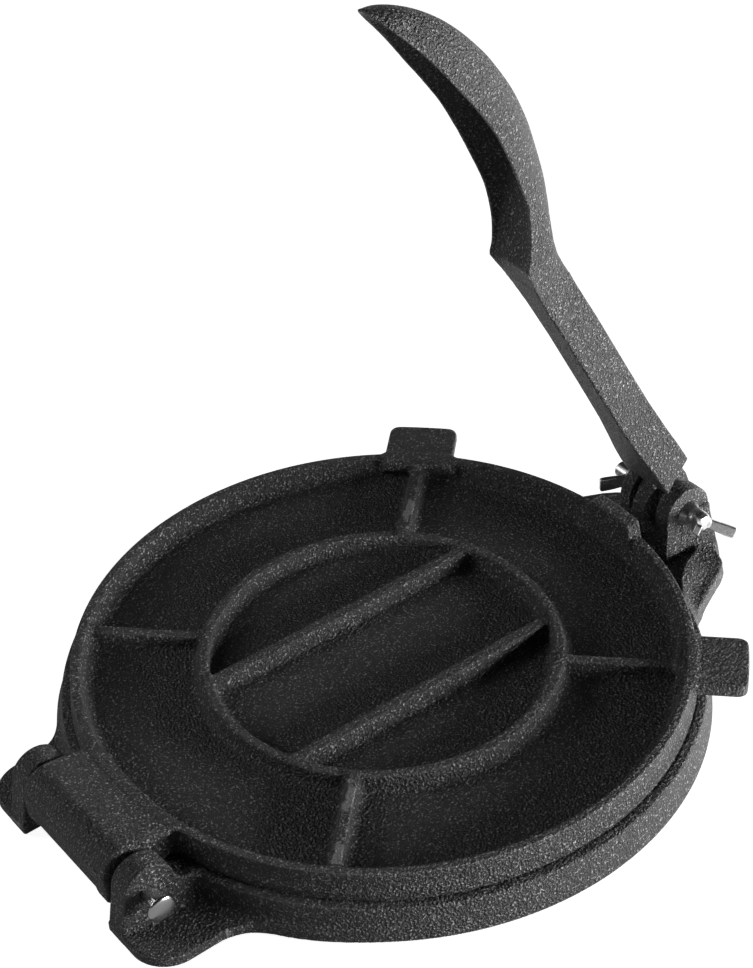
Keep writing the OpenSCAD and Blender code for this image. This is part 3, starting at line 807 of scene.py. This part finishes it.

# %% Give each piece its finish and its body, and hide the CAD parts it stands for
for piece, body, slot, material, nodes in (
        (base, "base", "cast_iron", iron, ["base_plate"]),
        (top, "plate", "cast_iron", iron, ["top_plate"]),
        (lever, "lever", "cast_iron", iron, ["lever"]),
        (screw, "pivot", "plated_steel", plated, ["wing_screw"]),
        (nut, "nut", "plated_steel", plated, ["wing_nut"]),
        (pin, "base", "pin_steel", polished, ["hinge_pin"]),
        (thread, "pivot", "plated_steel", plated, [])):
    piece.data.materials.clear()
    piece.data.materials.append(material)
    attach(piece, body)
    if nodes:
        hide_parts(*nodes)
    print(piece.name, "rides on", body)
clip_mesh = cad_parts["pin_clip"].data
clip_mesh.materials.clear()
clip_mesh.materials.append(plated)

# %% [markdown]
# ## Studio
# The photograph is a catalogue shot: the press on pure white, lit from the right and a little
# behind the camera, so that walls that face right glow while the flat floors stay dark.

# %% Floor and background
FLOOR_HALF, FLOOR_Z_M = 3, -0.0004
SEEN_WHITE = 0.94       # what the camera sees of the floor before any lamp lights it


def studio_floor():
    """White floor that keeps a shadow, and is a bright field to the right for reflections only."""
    mesh = bpy.data.meshes.new("studio_floor")
    corners = [(a * FLOOR_HALF, b * FLOOR_HALF, FLOOR_Z_M) for a, b in ((-1, -1), (1, -1), (1, 1), (-1, 1))]
    mesh.from_pydata(corners, [], [(0, 1, 2, 3)])
    floor = place("studio_floor", mesh)
    material = bpy.data.materials.new("studio_white")
    material.use_nodes = True
    tree = material.node_tree
    nodes, links = tree.nodes, tree.links
    skin = nodes["Principled BSDF"]
    skin.inputs["Base Color"].default_value = (0.86, 0.86, 0.86, 1)
    skin.inputs["Roughness"].default_value = 0.9
    skin.inputs["Specular IOR Level"].default_value = 0.1
    skin.inputs["Emission Color"].default_value = (1, 1, 1, 1)
    ray, split = nodes.new("ShaderNodeLightPath"), nodes.new("ShaderNodeSeparateXYZ")
    links.new(nodes.new("ShaderNodeTexCoord").outputs["Object"], split.inputs[0])
    seen = maths(tree, "MULTIPLY", ray.outputs["Is Camera Ray"], SEEN_WHITE)
    field = stretch(nodes, links, split.outputs["X"], -0.05, 0.16, 0.06, 1.5)
    shine = maths(tree, "MULTIPLY", ray.outputs["Is Glossy Ray"], field)
    links.new(maths(tree, "ADD", seen, shine), skin.inputs["Emission Strength"])
    mesh.materials.append(material)
    print("floor", 2 * FLOOR_HALF, "m wide")
    return floor


def studio_world():
    """White to the camera, a low bright horizon to reflections, and nearly dark to the rest."""
    world = bpy.data.worlds.new("studio")
    bpy.context.scene.world = world
    world.use_nodes = True
    tree = world.node_tree
    nodes, links = tree.nodes, tree.links
    ambient = nodes["Background"]
    ambient.inputs["Color"].default_value = (0.014, 0.014, 0.014, 1)
    ambient.inputs["Strength"].default_value = 1.0
    white, choose = nodes.new("ShaderNodeBackground"), nodes.new("ShaderNodeMixShader")
    ray, split = nodes.new("ShaderNodeLightPath").outputs, nodes.new("ShaderNodeSeparateXYZ")
    through = maths(tree, "MAXIMUM", ray["Is Camera Ray"], ray["Is Transmission Ray"])
    links.new(maths(tree, "MAXIMUM", through, ray["Is Glossy Ray"]), choose.inputs[0])
    links.new(nodes.new("ShaderNodeTexCoord").outputs["Generated"], split.inputs[0])
    sweep = stretch(nodes, links, split.outputs["Z"], 0.0, 0.36, 0.5, 0.015)
    links.new(maths(tree, "MAXIMUM", sweep, through), white.inputs["Strength"])
    links.new(ambient.outputs[0], choose.inputs[1])
    links.new(white.outputs[0], choose.inputs[2])
    links.new(choose.outputs[0], nodes["World Output"].inputs["Surface"])
    print("world:", len(nodes), "nodes")


studio_floor()
studio_world()


# %% Lamps
def softbox(name, at, aim, wide, high, power):
    """A rectangular lamp at one point that faces another; metres and watts."""
    lamp = bpy.data.lights.new(name, "AREA")
    lamp.shape = "RECTANGLE"
    lamp.size, lamp.size_y, lamp.energy = wide, high, power
    rig = bpy.data.objects.new(name, lamp)
    rig.location = at
    rig.rotation_euler = (Vector(aim) - Vector(at)).to_track_quat("-Z", "Y").to_euler()
    bpy.context.scene.collection.objects.link(rig)
    print(name, power, "W")


softbox("key_right", (0.64, -0.8, 0.13), (0.04, 0, 0.05), 0.6, 0.25, 14)
softbox("back_left", (-0.36, 0.68, 0.6), (0.02, 0, 0.02), 0.5, 0.4, 0.7)
softbox("back_low", (-0.62, 0.66, 0.38), (0.08, 0, 0.02), 0.25, 0.2, 1.5)

# %% Camera at the photograph's angle
TURN, RISE, ROLL, AWAY = math.radians(-32.62), math.radians(38.05), math.radians(-5.37), 0.80706
AIM = Vector((0.03369, 0.10171, 0))
back = Vector((math.sin(TURN) * math.cos(RISE), -math.cos(TURN) * math.cos(RISE), math.sin(RISE)))
right = (-back).cross(Vector((0, 0, 1))).normalized()
up = right.cross(-back)
right, up = right * math.cos(ROLL) + up * math.sin(ROLL), up * math.cos(ROLL) - right * math.sin(ROLL)
lens = bpy.data.cameras.new("photo_camera")
lens.lens, lens.sensor_width, lens.sensor_fit = 81.33, 36, "AUTO"
lens.shift_x, lens.shift_y = 0.0940, 0.02376
lens.clip_start, lens.clip_end = 0.01, 20
eye = bpy.data.objects.new("photo_camera", lens)
turned_to = Matrix((right, up, back)).transposed().to_4x4()
eye.matrix_world = Matrix.Translation(AIM + back * AWAY) @ turned_to
bpy.context.scene.collection.objects.link(eye)
bpy.context.scene.camera = eye
bpy.context.scene.view_settings.view_transform = "Standard"
print("camera", round(AWAY, 3), "m from its aim with a", lens.lens, "mm lens")
